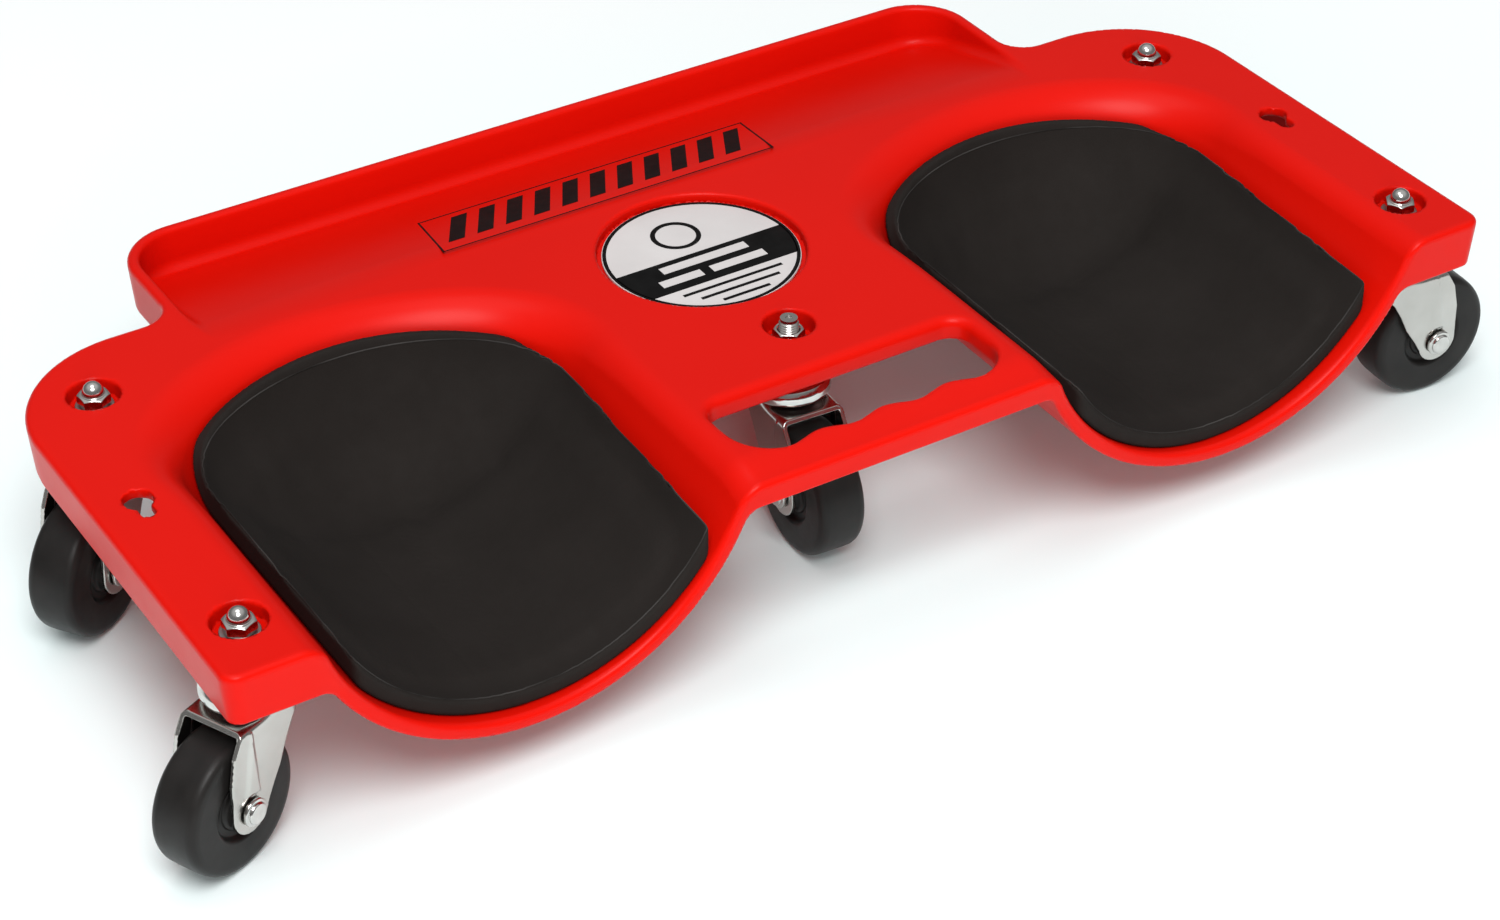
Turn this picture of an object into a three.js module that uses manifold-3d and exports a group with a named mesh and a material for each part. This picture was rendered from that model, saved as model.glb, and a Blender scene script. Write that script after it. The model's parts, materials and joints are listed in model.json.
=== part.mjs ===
// Rolling knee creeper: a moulded platform with two padded knee cups and a tool tray,
// on five swivel casters. Millimetres, +Z up. The origin is on the floor under the middle
// of the footprint, and +Y points to the tool tray.
import * as THREE from 'three';
import { mergeVertices } from 'three/addons/utils/BufferGeometryUtils.js';
import Module from 'manifold-3d';

const wasm = await Module();
wasm.setup();

// ---- Driving dimensions ----
const GAP = 0.3;                  // clear space between pieces that touch

// Platform plan and heights
const HALF_WIDTH = 323;
const FRONT_AT_ENDS = -163;
const FRONT_AT_HANDLE = -157.5;
const HANDLE_HALF_WIDTH = 79;
const REAR_EDGE = 88;             // rear edge of the end bars
const FRONT_CORNER_R = 5;
const REAR_CORNER_R = 60;
const TRAY_HALF_WIDTH = 233;
const TRAY_BACK = 162.5;
const TRAY_CORNER_R = 30;
const TRAY_FILLET_R = 15;         // hollow corner where the tray leaves the end bar
const DECK_TOP = 109.5;
const DECK_BOTTOM = 84;
const SKIN = 5;                   // top skin and outer skirt
const HANDLE_BOTTOM = 92;
const RIB = 3;
const SIDE_RIBS_Y = [-90, -55, -8, 22];
const TRAY_RIBS_X = [60, 120, 200];

// Knee cups: a lying cylinder with an ellipsoid rear end
const CUP_X = 180;
const CUP_AXIS_Z = 134.5;
const CUP_R = 103;
const CUP_WALL = 7;
const CUP_END_Y = -25;            // where the cylinder ends and the round rear begins
const CUP_END_LENGTH = 72;
const CUP_SEGMENTS = 48;
const CUP_END_STEPS = 7;

// Knee pads
const PAD_THICKNESS = 9.5;
const PAD_FRONT = -152.5;
const PAD_EDGE_Z = 101.4;         // height of the pad's upper edge at y = 0
const PAD_EDGE_SLOPE = 0.06;      // the upper edge rises towards the rear
const PAD_OUTLINE_STEPS = 12;

// Tool tray
const RAMP_FRONT = 69;
const RAMP_BACK = 151;
const TRAY_FLOOR = 88.5;
const TRAY_RIM = 6;
const TRAY_SKIN = 4.5;

// Hand slot with finger scallops
const SLOT_HALF_WIDTH = 68;
const SLOT_BACK = -97;
const SLOT_FRONT = -140.5;
const SLOT_BACK_R = 9;
const SLOT_FRONT_R = 20;
const SLOT_COLLAR = 4;
const SLOT_WALL_BOTTOM = 97;
const SCALLOP_HEIGHT = 3;
const SCALLOP_PITCH = 35;

// Keyhole slots
const KEYHOLE_X = 302;
const KEYHOLE_Y = -33;
const KEYHOLE_R = 6.5;
const KEYHOLE_SLOT_W = 6.4;
const KEYHOLE_SLOT_LENGTH = 13.5;

// Emblem disc
const DISC_Y = 13;
const DISC_R = 46.5;
const DISC_RECESS_R = 49;
const DISC_FLOOR = 102.5;
const DISC_THICKNESS = 1.5;

// Casters: stem axis places and headings (degrees from +X to the wheel side). Every axle bolt
// has its head on the side that is nearer the front.
const STEM_TOP = 109.5;
const NUT_SEAT = 102;             // floor of the round recess in the deck
const CENTRE_STEM_TOP = 110.4;    // its thread stands out of a plain nut
const CENTRE_NUT_SEAT = 97.5;
const CASTERS = [
  { name: 'front_left', x: -300.8, y: -128.5, heading: 205, top: STEM_TOP, seat: NUT_SEAT },
  { name: 'front_right', x: 300.8, y: -128.5, heading: -4, top: STEM_TOP, seat: NUT_SEAT },
  { name: 'rear_left', x: -287, y: 49, heading: 215, top: STEM_TOP, seat: NUT_SEAT },
  { name: 'rear_right', x: 287, y: 49, heading: 20, top: STEM_TOP, seat: NUT_SEAT },
  { name: 'centre', x: 0, y: -62, heading: -93, top: CENTRE_STEM_TOP, seat: CENTRE_NUT_SEAT },
];
const STEM_R = 3.8;
const STEM_HOLE_R = 4.6;
const STEM_BOSS_R = 15;
const NUT_RECESS_R = 11.8;
const WASHER_R = 8.6;
const WASHER_THICKNESS = 1.4;
const HEX_FLATS = 13;
const HEX_HEIGHT = 5.4;
const DOME_R = 4.8;

const WHEEL_R = 31.75;            // a 2.5 inch wheel
const WHEEL_SIDES = 24;           // flat facets, one of them on the floor at rest
const WHEEL_HALF_WIDTH = 11.7;
const WHEEL_EDGE_R = 3.5;
const TRAIL = 21;                 // stem axis to axle
const HUB_HALF_WIDTH = 13.8;
const HUB_R = 9;
const HUB_RECESS_R = 15.5;
const HUB_RECESS_DEPTH = 3.4;
const BUSH_R = 6;
const BUSH_BORE_R = 4.4;

const FORK_TOP = 71.5;
const FORK_HALF_WIDTH = 16.5;
const PLATE = 2.2;                // pressed steel thickness
const FORK_FOOT_R = 10.5;
const RACE_R = 19.5;
const RACE_LIFT = 2.6;            // race cup's rim above the fork
const RACE_SHEET = 2;
const BALL_CIRCLE_R = 11;
const BALL_R = 2.3;
const BALL_Z = 75.2;
const STEM_HEAD_R = 6.5;
const STEM_HEAD_HEIGHT = 2.4;
const AXLE_R = 4;
const AXLE_HEAD_R = 6.4;
const AXLE_HEAD_HEIGHT = 2.9;
const AXLE_END = 6;               // thread standing out of the fork
const AXLE_NUT_FLATS = 11;
const AXLE_NUT_HEIGHT = 4.5;

// ---- Materials ----
function material(color, roughness, metalness) {
  return new THREE.MeshStandardMaterial({ color, roughness, metalness });
}
const MATERIALS = {
  shell: () => material(0xd81c14, 0.32, 0),
  pad: () => material(0x262422, 0.7, 0),
  emblem: () => material(0xe4e2e2, 0.45, 0),
  steel: () => material(0xb9b8b2, 0.3, 1),
  bright: () => material(0xd6d4cf, 0.15, 1),
  tyre: () => material(0x2c2a29, 0.55, 0),
  bush: () => material(0x8d8b86, 0.4, 1),
};

// ---- Solid helpers ----
function toSolid(geometry) {
  const bare = geometry.clone();
  bare.deleteAttribute('normal');
  bare.deleteAttribute('uv');
  const merged = mergeVertices(bare, 1e-4);
  return new wasm.Manifold(new wasm.Mesh({
    numProp: 3,
    vertProperties: new Float32Array(merged.attributes.position.array),
    triVerts: new Uint32Array(merged.index.array),
  }));
}

function toGeometry(solid) {
  const mesh = solid.getMesh();
  const geometry = new THREE.BufferGeometry();
  geometry.setAttribute('position', new THREE.BufferAttribute(mesh.vertProperties, 3));
  geometry.setIndex(new THREE.BufferAttribute(mesh.triVerts, 1));
  return geometry;
}

function outlineShape(points) {
  return new THREE.Shape(points.map(([x, y]) => new THREE.Vector2(x, y)));
}

function prism(shape, bottom, top, curveSegments = 10) {
  const depth = top - bottom;
  const geometry = new THREE.ExtrudeGeometry(shape, { depth, bevelEnabled: false, curveSegments });
  geometry.translate(0, 0, bottom);
  return geometry;
}

// A section drawn in the (y, z) plane, drawn out along X from -half to +half.
function crossPrism(points, half) {
  const geometry = prism(outlineShape(points), -half, half);
  const basis = new THREE.Matrix4().makeBasis(
    new THREE.Vector3(0, 1, 0), new THREE.Vector3(0, 0, 1), new THREE.Vector3(1, 0, 0));
  geometry.applyMatrix4(basis);
  return geometry;
}

function box(x0, x1, y0, y1, z0, z1) {
  const geometry = new THREE.BoxGeometry(x1 - x0, y1 - y0, z1 - z0);
  geometry.translate((x0 + x1) / 2, (y0 + y1) / 2, (z0 + z1) / 2);
  return geometry;
}

function disc(x, y, radius, bottom, top, segments = 24) {
  const geometry = new THREE.CylinderGeometry(radius, radius, top - bottom, segments);
  geometry.rotateX(Math.PI / 2);
  geometry.translate(x, y, (bottom + top) / 2);
  return geometry;
}

// A profile of [radius, height] points turned about +Z.
function turned(profile, segments) {
  const geometry = new THREE.LatheGeometry(profile.map(([r, z]) => new THREE.Vector2(r, z)), segments);
  geometry.rotateX(Math.PI / 2);
  return geometry;
}

function arcPoints(centreR, centreZ, radius, from, to, steps) {
  return Array.from({ length: steps + 1 }, (_, i) => {
    const angle = THREE.MathUtils.degToRad(from + (to - from) * i / steps);
    return [centreR + radius * Math.cos(angle), centreZ + radius * Math.sin(angle)];
  });
}

function mirrored(points) {
  return points.map(([x, y]) => [-x, y]).reverse();
}

// ---- Platform ----
// Plan outline, shrunk inwards by inset. Corners are arcs; the middle of the front edge is the handle.
function platformOutline(inset) {
  const side = HALF_WIDTH - inset;
  const ends = FRONT_AT_ENDS + inset;
  const rear = REAR_EDGE - inset;
  const tray = TRAY_HALF_WIDTH - inset;
  const back = TRAY_BACK - inset;
  const frontR = Math.max(FRONT_CORNER_R - inset, 1);
  const rearR = REAR_CORNER_R - inset;
  const trayR = TRAY_CORNER_R - inset;
  const filletR = TRAY_FILLET_R + inset;
  const right = [
    [HANDLE_HALF_WIDTH, FRONT_AT_HANDLE + inset],
    [CUP_X + CUP_R, ends],
    ...arcPoints(side - frontR, ends + frontR, frontR, -90, 0, 3),
    ...arcPoints(side - rearR, rear - rearR, rearR, 0, 90, 14),
    ...arcPoints(tray + filletR, rear + filletR, filletR, -90, -180, 5),
    ...arcPoints(tray - trayR, back - trayR, trayR, 0, 90, 8),
  ];
  return outlineShape([...right, ...mirrored(right)]);
}

// The space inside a knee cup, or its outside, as a capsule lying along Y and rounded at the rear.
function cupVolume(side, radius, endLength, front) {
  const rearArc = Array.from({ length: CUP_END_STEPS + 1 }, (_, i) => {
    const angle = Math.PI / 2 * i / CUP_END_STEPS;
    const r = i === CUP_END_STEPS ? 0 : radius * Math.cos(angle);
    return new THREE.Vector2(r, CUP_END_Y + endLength * Math.sin(angle));
  });
  const profile = [new THREE.Vector2(0, front), new THREE.Vector2(radius, front), ...rearArc];
  const geometry = new THREE.LatheGeometry(profile, CUP_SEGMENTS);
  geometry.translate(side * CUP_X, 0, CUP_AXIS_Z);
  return toSolid(geometry);
}

function slotShape(grow) {
  const half = SLOT_HALF_WIDTH + grow;
  const back = SLOT_BACK + grow;
  const front = SLOT_FRONT - grow;
  const backR = SLOT_BACK_R + grow;
  const frontR = SLOT_FRONT_R + grow;
  const scallopRun = half - frontR;
  const steps = 24;
  const scallops = Array.from({ length: steps + 1 }, (_, i) => {
    const x = -scallopRun + 2 * scallopRun * i / steps;
    const wave = Math.max(0, Math.cos(2 * Math.PI * x / SCALLOP_PITCH));
    return [x, front + SCALLOP_HEIGHT * wave * wave];
  });
  return outlineShape([
    ...scallops,
    ...arcPoints(half - frontR, front + frontR, frontR, -80, 0, 5),
    ...arcPoints(half - backR, back - backR, backR, 0, 90, 4),
    ...arcPoints(-half + backR, back - backR, backR, 90, 180, 4),
    ...arcPoints(-half + frontR, front + frontR, frontR, 180, 260, 5),
  ]);
}

function keyholeShape(side) {
  const half = KEYHOLE_SLOT_W / 2;
  const join = Math.sqrt(KEYHOLE_R ** 2 - half ** 2);
  const joinAngle = THREE.MathUtils.radToDeg(Math.atan2(-join, half));
  const points = [
    ...arcPoints(0, 0, KEYHOLE_R, joinAngle, 180 - joinAngle, 14),
    ...arcPoints(0, half - KEYHOLE_SLOT_LENGTH, half, 180, 360, 5),
  ];
  return outlineShape(points.map(([x, y]) => [side * KEYHOLE_X + x, KEYHOLE_Y + y]));
}

function trayRamp(lift) {
  return [[RAMP_FRONT, DECK_TOP + lift], [RAMP_BACK, TRAY_FLOOR + lift]];
}

function platformShell() {
  const above = DECK_TOP + 20;
  const below = -10;
  const whole = toSolid(prism(platformOutline(0), DECK_BOTTOM, DECK_TOP));
  const footprint = toSolid(prism(platformOutline(0), below, DECK_TOP));
  const hollow = toSolid(prism(platformOutline(SKIN), below, DECK_TOP - SKIN));
  const trayInside = toSolid(prism(platformOutline(TRAY_RIM), below, above));

  const [deckEdge, floorEdge] = trayRamp(0);
  const [deckUnder] = trayRamp(-TRAY_SKIN);
  const rampSection = [deckUnder, [TRAY_BACK, DECK_BOTTOM], [TRAY_BACK, TRAY_FLOOR], floorEdge, deckEdge];
  const rampPlate = toSolid(crossPrism(rampSection, TRAY_HALF_WIDTH - 1));
  const pocketSection = [deckEdge, floorEdge, [TRAY_BACK - TRAY_RIM, above], [RAMP_FRONT, above]];
  const pocket = toSolid(crossPrism(pocketSection, TRAY_HALF_WIDTH - TRAY_RIM)).intersect(trayInside);
  const rampSkin = rampPlate.intersect(footprint);

  // Ribs inside the hollow underside: across the end bars, and along Y under the tray.
  const ribTop = DECK_TOP - SKIN + 1;
  const barInner = CUP_X + CUP_R - 5;
  const ribs = [];
  for (const side of [-1, 1]) {
    for (const y of SIDE_RIBS_Y) {
      const [x0, x1] = [side * barInner, side * (HALF_WIDTH - 1)].sort((a, b) => a - b);
      ribs.push(box(x0, x1, y - RIB / 2, y + RIB / 2, DECK_BOTTOM + 4, ribTop));
    }
    for (const x of TRAY_RIBS_X) {
      const [x0, x1] = [side * x - RIB / 2, side * x + RIB / 2];
      ribs.push(box(x0, x1, RAMP_FRONT - 14, TRAY_BACK - 2, DECK_BOTTOM + 1, ribTop));
    }
  }
  const ribSolid = ribs.map(toSolid).reduce((all, one) => all.add(one)).intersect(whole);

  let shell = whole.subtract(hollow).add(ribSolid).add(rampSkin);
  const reach = HANDLE_HALF_WIDTH + 15;
  const rear = SLOT_BACK + SLOT_COLLAR;
  shell = shell.subtract(toSolid(box(-reach, reach, FRONT_AT_ENDS - 5, rear, below, HANDLE_BOTTOM)));
  shell = shell.add(toSolid(prism(slotShape(SLOT_COLLAR), SLOT_WALL_BOTTOM, ribTop)));
  shell = shell.add(toSolid(disc(0, DISC_Y, DISC_RECESS_R + 4, DISC_FLOOR - 4, ribTop, 48)));
  for (const caster of CASTERS) {
    shell = shell.add(toSolid(disc(caster.x, caster.y, STEM_BOSS_R, DECK_BOTTOM, ribTop)));
  }
  for (const side of [-1, 1]) {
    const outside = cupVolume(side, CUP_R + CUP_WALL, CUP_END_LENGTH + CUP_WALL, FRONT_AT_ENDS - 10);
    shell = shell.add(outside.intersect(footprint));
  }
  for (const side of [-1, 1]) {
    shell = shell.subtract(cupVolume(side, CUP_R, CUP_END_LENGTH, FRONT_AT_ENDS - 20));
    shell = shell.subtract(toSolid(prism(keyholeShape(side), below, above)));
  }
  shell = shell.subtract(pocket);
  shell = shell.subtract(toSolid(prism(slotShape(0), below, above)));
  shell = shell.subtract(toSolid(disc(0, DISC_Y, DISC_RECESS_R, DISC_FLOOR, above, 48)));
  for (const caster of CASTERS) {
    shell = shell.subtract(toSolid(disc(caster.x, caster.y, STEM_HOLE_R, below, above, 16)));
    shell = shell.subtract(toSolid(disc(caster.x, caster.y, NUT_RECESS_R, caster.seat, above, 24)));
  }
  return toGeometry(shell);
}

// Half the pad's width at a place along Y: where its upper surface meets the sloping upper edge.
function padHalfWidth(y) {
  const radius = CUP_R - PAD_THICKNESS;
  const drop = CUP_AXIS_Z - PAD_EDGE_Z - PAD_EDGE_SLOPE * y;
  const behind = Math.max(y - CUP_END_Y, 0) * radius / (CUP_END_LENGTH - PAD_THICKNESS);
  return Math.sqrt(Math.max(radius ** 2 - drop ** 2 - behind ** 2, 0));
}

// A pad is the layer that lines a cup, cut upright round its outline.
function kneePad(side) {
  const outer = cupVolume(side, CUP_R - GAP, CUP_END_LENGTH - GAP, PAD_FRONT - 20);
  const inner = cupVolume(side, CUP_R - PAD_THICKNESS, CUP_END_LENGTH - PAD_THICKNESS, PAD_FRONT - 30);
  let rear = CUP_END_Y;
  while (padHalfWidth(rear + 0.1) > 0) rear += 0.1;
  const right = Array.from({ length: PAD_OUTLINE_STEPS + 1 }, (_, i) => {
    const y = CUP_END_Y + (rear - CUP_END_Y) * Math.sin(Math.PI / 2 * i / PAD_OUTLINE_STEPS);
    return [padHalfWidth(y), y];
  });
  const half = [[padHalfWidth(PAD_FRONT), PAD_FRONT], ...right.slice(0, -1), [0, rear]];
  const outline = [...half, ...mirrored(half.slice(0, -1))];
  const around = outline.map(([x, y]) => [x + side * CUP_X, y]);
  const upright = toSolid(prism(outlineShape(around), 0, DECK_TOP + 20));
  return toGeometry(outer.subtract(inner).intersect(upright));
}

// ---- Caster pieces, drawn with the stem axis on +Z and the wheel towards +X ----
function stem(top) {
  const headTop = FORK_TOP - PLATE - GAP;
  const headBottom = headTop - STEM_HEAD_HEIGHT;
  return turned([
    [0, headBottom], [STEM_HEAD_R - 1.5, headBottom], [STEM_HEAD_R, headTop - 1],
    [STEM_HEAD_R, headTop], [STEM_R, headTop], [STEM_R, top], [0, top],
  ], 12);
}

// A pressed cup, open below, that covers the balls.
function raceCup() {
  const bottom = FORK_TOP + RACE_LIFT;
  const top = DECK_BOTTOM - GAP;
  const bore = STEM_R + GAP;
  return turned([
    [bore, top], [bore, top - RACE_SHEET], [RACE_R - 6, top - RACE_SHEET], [RACE_R - 3.5, bottom],
    [RACE_R - 1, bottom + 0.8], [RACE_R, bottom + 3.5], [RACE_R - 2.5, top], [bore, top],
  ], 20);
}

function bearingRing() {
  const ring = arcPoints(BALL_CIRCLE_R, BALL_Z, BALL_R, 0, 360, 6);
  return turned(ring, 16);
}

function forkSide() {
  const foot = arcPoints(TRAIL, WHEEL_R, FORK_FOOT_R, -150, 0, 6);
  const rearEdge = [[-19, FORK_TOP], [-14, 66], [-4, 49]];
  const frontEdge = [[TRAIL + FORK_FOOT_R - 1, 50], [27.5, 62], [21.5, FORK_TOP]];
  const points = [...rearEdge, ...foot, ...frontEdge];
  return outlineShape(points);
}

function fork() {
  const geometry = prism(forkSide(), -FORK_HALF_WIDTH, FORK_HALF_WIDTH);
  geometry.rotateX(Math.PI / 2);
  const inner = FORK_HALF_WIDTH - PLATE;
  const wheelSpace = toSolid(box(-40, 60, -inner, inner, -5, FORK_TOP - PLATE));
  const ridge = toSolid(disc(0, 0, RACE_R - 4.5, FORK_TOP - 1, FORK_TOP + 1.2, 20));
  const groove = toSolid(disc(0, 0, RACE_R - 6, FORK_TOP, FORK_TOP + 5, 20));
  const stemHole = toSolid(disc(0, 0, STEM_R + GAP, FORK_TOP - 10, FORK_TOP + 10, 12));
  const axleHole = new THREE.CylinderGeometry(AXLE_R + GAP, AXLE_R + GAP, 60, 12);
  axleHole.translate(TRAIL, 0, WHEEL_R);
  const plates = toSolid(geometry).subtract(wheelSpace).add(ridge.subtract(groove));
  return toGeometry(plates.subtract(stemHole).subtract(toSolid(axleHole)));
}

// Pieces turned about the axle: a profile of [radius, offset] points.
function aboutAxle(profile, segments, startAngle = 0) {
  const section = profile.map(([r, t]) => new THREE.Vector2(r, t));
  const geometry = new THREE.LatheGeometry(section, segments, startAngle);
  geometry.translate(TRAIL, 0, WHEEL_R);
  return geometry;
}

// The tread is a ring of flat facets whose middles lie at the wheel's radius.
function wheel() {
  const halfStep = Math.PI / WHEEL_SIDES;
  const treadR = WHEEL_R / Math.cos(halfStep);
  const chamfer = WHEEL_EDGE_R * 0.3;
  const recessFloor = WHEEL_HALF_WIDTH - HUB_RECESS_DEPTH;
  const half = [
    [BUSH_R + GAP, HUB_HALF_WIDTH], [HUB_R, HUB_HALF_WIDTH],
    [HUB_R + 0.6, recessFloor], [HUB_RECESS_R - 1, recessFloor],
    [HUB_RECESS_R + 0.5, WHEEL_HALF_WIDTH], [treadR - WHEEL_EDGE_R, WHEEL_HALF_WIDTH],
    [treadR - chamfer, WHEEL_HALF_WIDTH - chamfer], [treadR, WHEEL_HALF_WIDTH - WHEEL_EDGE_R],
  ];
  const otherHalf = half.map(([r, t]) => [r, -t]);
  const section = [...otherHalf, ...half.reverse(), otherHalf[0]];
  return aboutAxle(section, WHEEL_SIDES, halfStep);
}

function bushing() {
  const end = FORK_HALF_WIDTH - PLATE - GAP;
  const start = [BUSH_BORE_R, -end];
  return aboutAxle([start, [BUSH_R, -end], [BUSH_R, end], [BUSH_BORE_R, end], start], 12);
}

// Turns a piece end for end on the axle.
function swapped(geometry) {
  geometry.translate(-TRAIL, 0, -WHEEL_R);
  geometry.rotateX(Math.PI);
  geometry.translate(TRAIL, 0, WHEEL_R);
  return geometry;
}

// The head is on the side of local -Y.
function axleBolt() {
  const face = FORK_HALF_WIDTH + GAP;
  const head = face + AXLE_HEAD_HEIGHT;
  return aboutAxle([
    [0, -head], [AXLE_HEAD_R - 1.4, -head], [AXLE_HEAD_R, -head + 1.4],
    [AXLE_HEAD_R, -face], [AXLE_R, -face], [AXLE_R, face + AXLE_END], [0, face + AXLE_END],
  ], 12);
}

function hexShape(flats, holeRadius) {
  const radius = flats / Math.sqrt(3);
  const corners = Array.from({ length: 6 }, (_, i) => {
    const angle = Math.PI / 3 * i;
    return new THREE.Vector2(radius * Math.cos(angle), radius * Math.sin(angle));
  });
  const shape = new THREE.Shape(corners);
  if (holeRadius > 0) {
    const sides = 12;
    const outerR = holeRadius / Math.cos(Math.PI / sides);
    const rim = arcPoints(0, 0, outerR, 360, 360 / sides, sides - 1);
    shape.holes.push(new THREE.Path(rim.map(([x, y]) => new THREE.Vector2(x, y))));
  }
  return shape;
}

function axleNut() {
  const face = FORK_HALF_WIDTH + GAP;
  const geometry = prism(hexShape(AXLE_NUT_FLATS, AXLE_R + GAP), face, face + AXLE_NUT_HEIGHT);
  geometry.rotateX(-Math.PI / 2);
  geometry.translate(TRAIL, 0, WHEEL_R);
  return geometry;
}

function washer(seat) {
  const bottom = seat + GAP;
  const top = bottom + WASHER_THICKNESS;
  const bore = STEM_R + GAP;
  return turned([[bore, bottom], [WASHER_R, bottom], [WASHER_R, top], [bore, top], [bore, bottom]], 16);
}

function nutBottom(seat) {
  return seat + WASHER_THICKNESS + 2 * GAP;
}

function capNut(seat) {
  const bottom = nutBottom(seat);
  const hexTop = bottom + HEX_HEIGHT;
  const hex = toSolid(prism(hexShape(HEX_FLATS, 0), bottom, hexTop));
  const dome = toSolid(turned([
    [0, hexTop - 1], [HEX_FLATS / 2 - 0.2, hexTop - 1], [HEX_FLATS / 2 - 0.2, hexTop],
    ...arcPoints(0, hexTop + 0.8, DOME_R, 0, 75, 3), [0, hexTop + 0.8 + DOME_R],
  ], 16));
  const bore = toSolid(disc(0, 0, STEM_R + GAP, bottom - 5, STEM_TOP + GAP, 12));
  return toGeometry(hex.add(dome).subtract(bore));
}

function plainNut(seat) {
  const bottom = nutBottom(seat);
  return prism(hexShape(HEX_FLATS, STEM_R + GAP), bottom, bottom + HEX_HEIGHT);
}

// ---- Assembly ----
const creeper = new THREE.Group();

function part(parent, name, geometry, look) {
  const mesh = new THREE.Mesh(geometry, MATERIALS[look]());
  mesh.name = name;
  parent.add(mesh);
}

part(creeper, 'platform_shell', platformShell(), 'shell');
part(creeper, 'left_knee_pad', kneePad(-1), 'pad');
part(creeper, 'right_knee_pad', kneePad(1), 'pad');
part(creeper, 'emblem_disc',
  disc(0, DISC_Y, DISC_R, DISC_FLOOR + GAP, DISC_FLOOR + GAP + DISC_THICKNESS, 48), 'emblem');

for (const { name, x, y, heading, top, seat } of CASTERS) {
  const caster = new THREE.Group();
  caster.position.set(x, y, 0);
  caster.rotation.z = THREE.MathUtils.degToRad(heading);
  creeper.add(caster);
  const headFirst = Math.cos(THREE.MathUtils.degToRad(heading)) > -0.1;
  const placed = headFirst ? (geometry) => geometry : swapped;
  part(caster, `${name}_stem`, stem(top), 'steel');
  part(caster, `${name}_race_cup`, raceCup(), 'bright');
  part(caster, `${name}_bearing_ring`, bearingRing(), 'steel');
  part(caster, `${name}_fork`, fork(), 'steel');
  part(caster, `${name}_axle_bolt`, placed(axleBolt()), 'bright');
  part(caster, `${name}_axle_nut`, placed(axleNut()), 'steel');
  part(caster, `${name}_wheel`, wheel(), 'tyre');
  part(caster, `${name}_bushing`, bushing(), 'bush');
  part(caster, `${name}_washer`, washer(seat), 'bright');
  part(caster, `${name}_${name === 'centre' ? 'hex_nut' : 'cap_nut'}`,
    name === 'centre' ? plainNut(seat) : capNut(seat), 'bright');
}

export default creeper;
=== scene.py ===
"""Looks of the rolling knee creeper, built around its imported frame. The fields below work in millimetres."""
import json
import math

import bpy
import numpy as np
from mathutils import Matrix, Vector
from mathutils.bvhtree import BVHTree
from mathutils.kdtree import KDTree


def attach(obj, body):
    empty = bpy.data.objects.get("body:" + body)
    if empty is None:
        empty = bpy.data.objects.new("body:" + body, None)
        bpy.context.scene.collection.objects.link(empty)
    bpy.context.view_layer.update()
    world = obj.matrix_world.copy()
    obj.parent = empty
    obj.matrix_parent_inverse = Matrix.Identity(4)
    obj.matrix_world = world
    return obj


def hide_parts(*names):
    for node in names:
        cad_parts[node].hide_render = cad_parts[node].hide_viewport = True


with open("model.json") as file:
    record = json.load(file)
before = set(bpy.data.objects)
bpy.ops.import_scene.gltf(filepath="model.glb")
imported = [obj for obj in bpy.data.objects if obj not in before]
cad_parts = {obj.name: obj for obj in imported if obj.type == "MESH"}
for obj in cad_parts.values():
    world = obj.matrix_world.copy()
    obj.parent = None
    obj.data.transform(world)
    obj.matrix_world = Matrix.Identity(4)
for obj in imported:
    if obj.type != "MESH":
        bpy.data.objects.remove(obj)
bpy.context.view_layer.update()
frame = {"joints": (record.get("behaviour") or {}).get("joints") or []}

MM = 0.001
CASTER_NAMES = ["front_left", "front_right", "rear_left", "rear_right", "centre"]

# ---- Driving dimensions, in millimetres ----
HALF_WIDTH = 322.8
FRONT_AT_ENDS = -162.8
FRONT_AT_HANDLE = -157.3
HANDLE_HALF_WIDTH = 79
REAR_EDGE = 87.8
TRAY_HALF_WIDTH = 232.8
TRAY_BACK = 162.2
DECK_TOP = 109.3
DECK_MIDDLE = 107.4
DECK_BOTTOM = 84
SKIN = 5

CUP_X = 180
CUP_AXIS_Z = 134.5
CUP_R = 103
CUP_WALL = 7
CUP_END_Y = -25
CUP_END_LENGTH = 72

PAD_FRONT = -152.5
PAD_THICKNESS = 9.5
PAD_EDGE_Z = 101.4
PAD_EDGE_SLOPE = 0.06
PAD_CROWN = 1.6                   # how much thinner the cover is before it swells
PAD_CORNER_R = 3.5                # round corners of the outline in plan
PAD_EDGE_R = 1.3
PAD_SEAM_INSET = 1.4
PAD_SWELL = 0.0028                # metres, as is the cloth copy's voxel
CLOTH_VOXEL = 0.0045

RAMP_FRONT = 69
RAMP_BACK = 151
TRAY_FLOOR = 88.5
TRAY_RIM = 6

SLOT_HALF_WIDTH = 68
SLOT_BACK = -97
SLOT_FRONT = -140.5
SCALLOP_PITCH = 33
KEYHOLE = (302, -33)
KEYHOLE_R = 6.5
KEYHOLE_SLOT = (10.3, 3.2)        # length towards the front, half width
RIB_HALF = 1.8

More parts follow.
